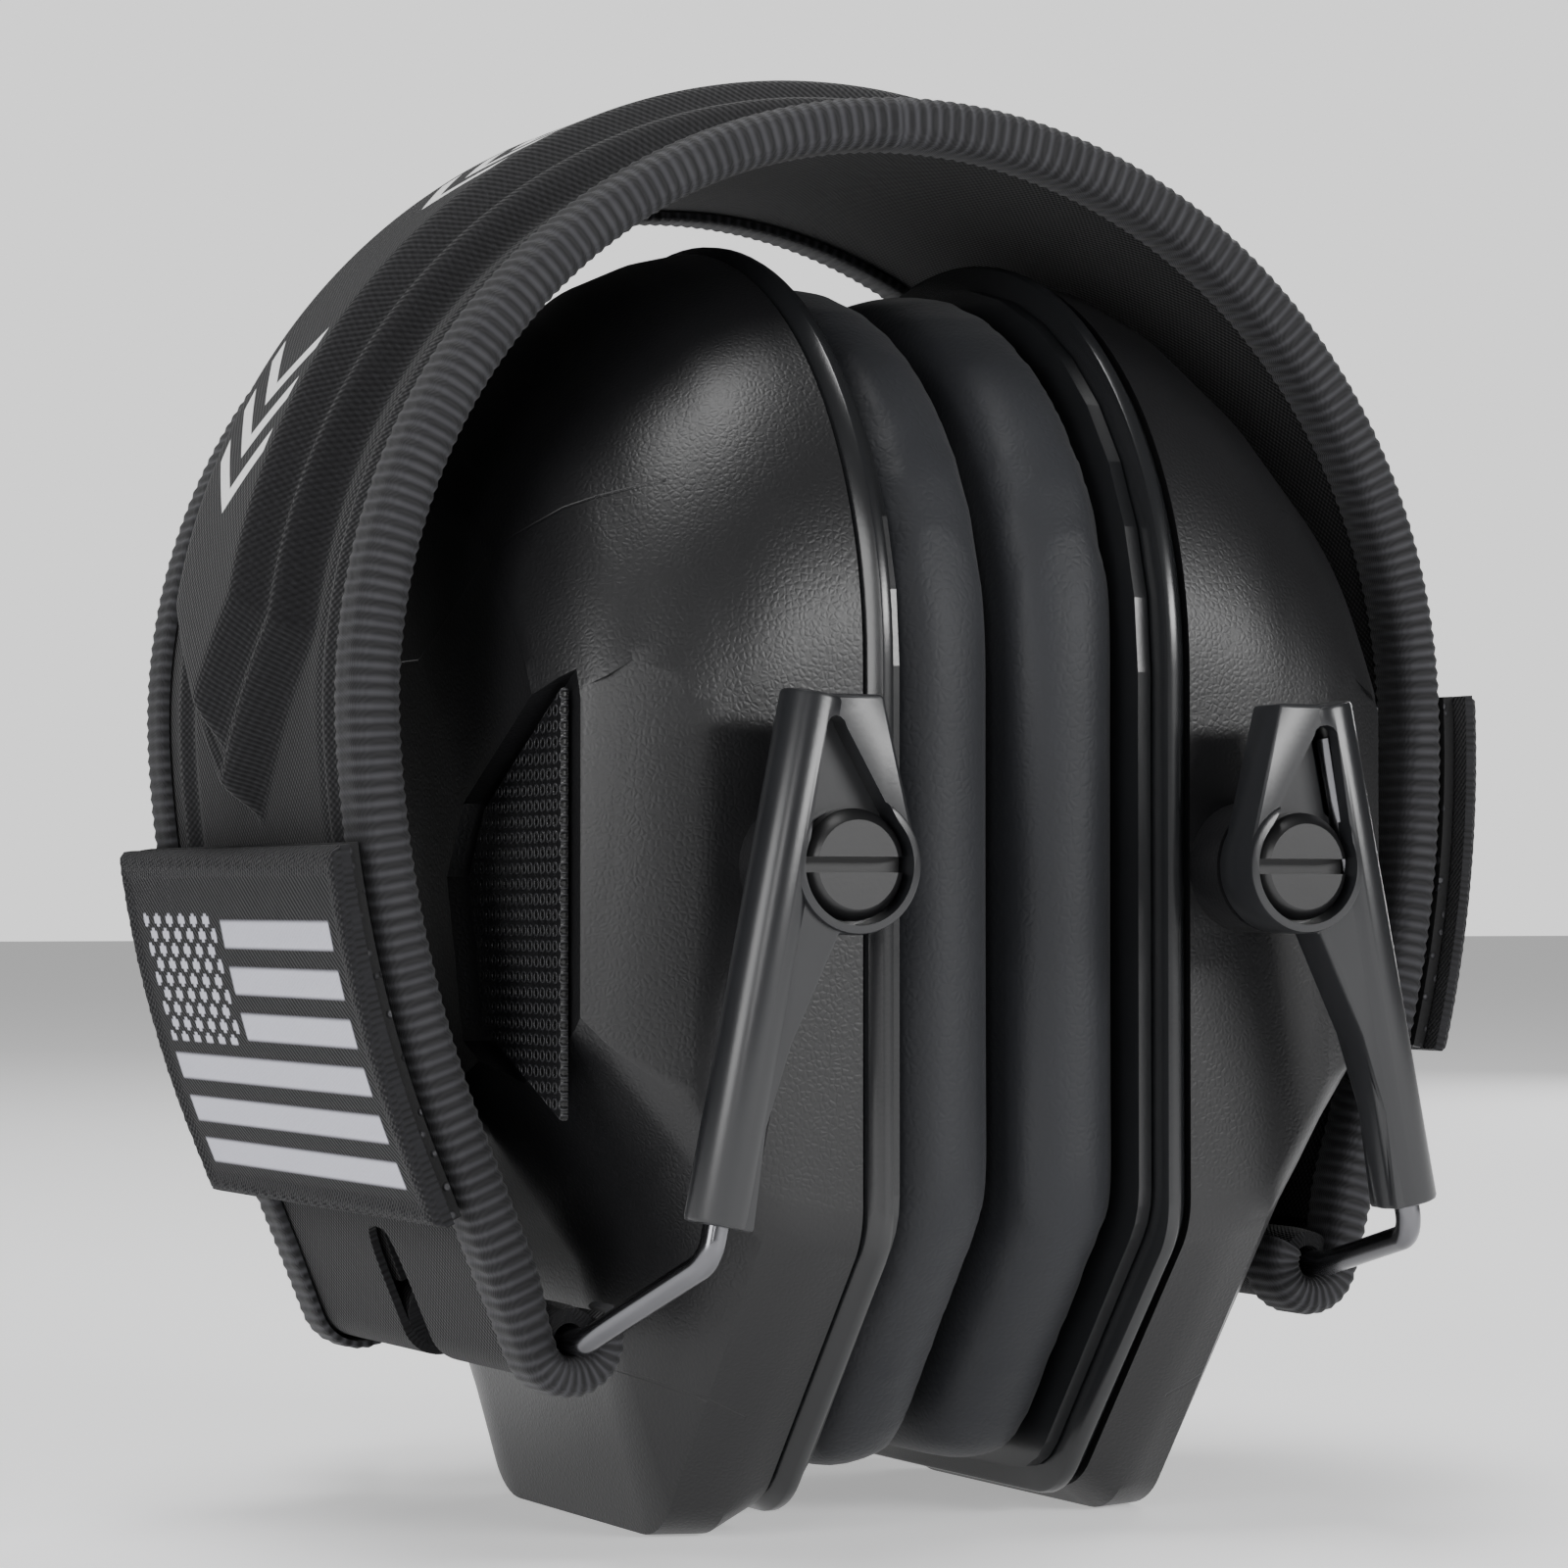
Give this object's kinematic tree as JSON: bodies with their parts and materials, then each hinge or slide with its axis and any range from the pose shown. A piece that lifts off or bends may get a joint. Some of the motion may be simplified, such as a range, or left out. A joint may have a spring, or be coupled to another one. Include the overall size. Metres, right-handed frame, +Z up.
{
  "type": "folding earmuff hearing protector",
  "caption": "Compact passive ear defenders, folded: padded fabric headband arch with both cups turned up inside it on wire forks with sliding sleeves.",
  "frame": {"origin": "on the surface that the folded part stands on, under the middle of its outline", "axes": "+X from the left cup to the right cup, +Y from front to rear, +Z up towards the headband's crown"},
  "size_m": [0.1084, 0.0944, 0.1229],
  "materials": {
    "shell_plastic": "black moulded plastic with a fine leather grain",
    "rim_plastic": "smooth satin grey-black plastic",
    "sleeve_plastic": "dark grey satin plastic",
    "pin_plastic": "black plastic",
    "cushion_skin": "charcoal matte leatherette over foam",
    "foam": "open-cell foam",
    "wire_steel": "black-nickel plated spring wire",
    "spring_steel": "thin spring strip inside the band",
    "band_fabric": "charcoal knitted fabric",
    "liner_fabric": "near-black smooth lining",
    "binding_tape": "ribbed grosgrain tape",
    "patch_cloth": "embroidered twill",
    "hook_tape": "hook tape"
  },
  "bodies": {
    "crown": {"crown_cover": "band_fabric", "crown_liner": "liner_fabric", "crown_spring": "spring_steel", "crown_binding_front": "binding_tape", "crown_binding_rear": "binding_tape", "crown_pod_pad": "band_fabric"},
    "band_left": {"left_band_cover": "band_fabric", "left_band_liner": "liner_fabric", "left_spring_strip": "spring_steel", "left_binding_front": "binding_tape", "left_binding_rear": "binding_tape", "left_pod_pad": "band_fabric", "left_end_loop": "band_fabric", "left_patch_backing": "hook_tape", "left_patch": "patch_cloth"},
    "fork_left": {"left_wire_fork": "wire_steel"},
    "slider_left": {"left_sleeve_front": "sleeve_plastic", "left_sleeve_rear": "sleeve_plastic"},
    "cup_left": {"left_cup_shell": "shell_plastic", "left_cup_rim": "rim_plastic", "left_cushion_ring": "rim_plastic", "left_cushion": "cushion_skin", "left_acoustic_foam": "foam", "left_grille_front": "shell_plastic", "left_grille_rear": "shell_plastic", "left_pivot_pin_front": "pin_plastic", "left_pivot_pin_rear": "pin_plastic"},
    "band_right": {"right_band_cover": "band_fabric", "right_band_liner": "liner_fabric", "right_spring_strip": "spring_steel", "right_binding_front": "binding_tape", "right_binding_rear": "binding_tape", "right_pod_pad": "band_fabric", "right_end_loop": "band_fabric", "right_patch_backing": "hook_tape", "right_patch": "patch_cloth"},
    "fork_right": {"right_wire_fork": "wire_steel"},
    "slider_right": {"right_sleeve_front": "sleeve_plastic", "right_sleeve_rear": "sleeve_plastic"},
    "cup_right": {"right_cup_shell": "shell_plastic", "right_cup_rim": "rim_plastic", "right_cushion_ring": "rim_plastic", "right_cushion": "cushion_skin", "right_acoustic_foam": "foam", "right_grille_front": "shell_plastic", "right_grille_rear": "shell_plastic", "right_pivot_pin_front": "pin_plastic", "right_pivot_pin_rear": "pin_plastic"}
  },
  "joints": [
    {"name": "left_band_flex", "type": "hinge", "parent": "crown", "child": "band_left", "pos_m": [-0.01636, 0, 0.12079], "axis": [0, 1, 0], "range_deg": [0, 24]},
    {"name": "left_fold", "type": "hinge", "parent": "band_left", "child": "fork_left", "pos_m": [-0.03271, 0, 0.01765], "axis": [0, 1, 0], "range_deg": [0, 146], "deforming": ["left_cushion"]},
    {"name": "left_size_slide", "type": "slide", "parent": "fork_left", "child": "slider_left", "axis": [0.1994, 0, 0.9799], "range_m": [0, 0.024]},
    {"name": "left_cup_swing", "type": "hinge", "parent": "slider_left", "child": "cup_left", "pos_m": [-0.01804, 0, 0.0558], "axis": [0, -1, 0], "range_deg": [0, 170]},
    {"name": "right_band_flex", "type": "hinge", "parent": "crown", "child": "band_right", "pos_m": [0.00987, 0, 0.12226], "axis": [0, -1, 0], "range_deg": [0, 24]},
    {"name": "right_fold", "type": "hinge", "parent": "band_right", "child": "fork_right", "pos_m": [0.03762, 0, 0.02158], "axis": [0, -1, 0], "range_deg": [0, 146], "deforming": ["right_cushion"]},
    {"name": "right_size_slide", "type": "slide", "parent": "fork_right", "child": "slider_right", "axis": [-0.1994, 0, 0.9799], "range_m": [0, 0.024]},
    {"name": "right_cup_swing", "type": "hinge", "parent": "slider_right", "child": "cup_right", "pos_m": [0.02316, 0, 0.0558], "axis": [0, 1, 0], "range_deg": [0, 170]}
  ],
  "couplings": [
    {"joint": "left_fold", "follows": "left_size_slide", "rad_per_m": 106.17},
    {"joint": "left_cup_swing", "follows": "left_size_slide", "rad_per_m": 123.62},
    {"joint": "left_band_flex", "follows": "left_size_slide", "rad_per_m": 17.45},
    {"joint": "right_fold", "follows": "right_size_slide", "rad_per_m": 106.17},
    {"joint": "right_cup_swing", "follows": "right_size_slide", "rad_per_m": 123.62},
    {"joint": "right_band_flex", "follows": "right_size_slide", "rad_per_m": 17.45}
  ]
}
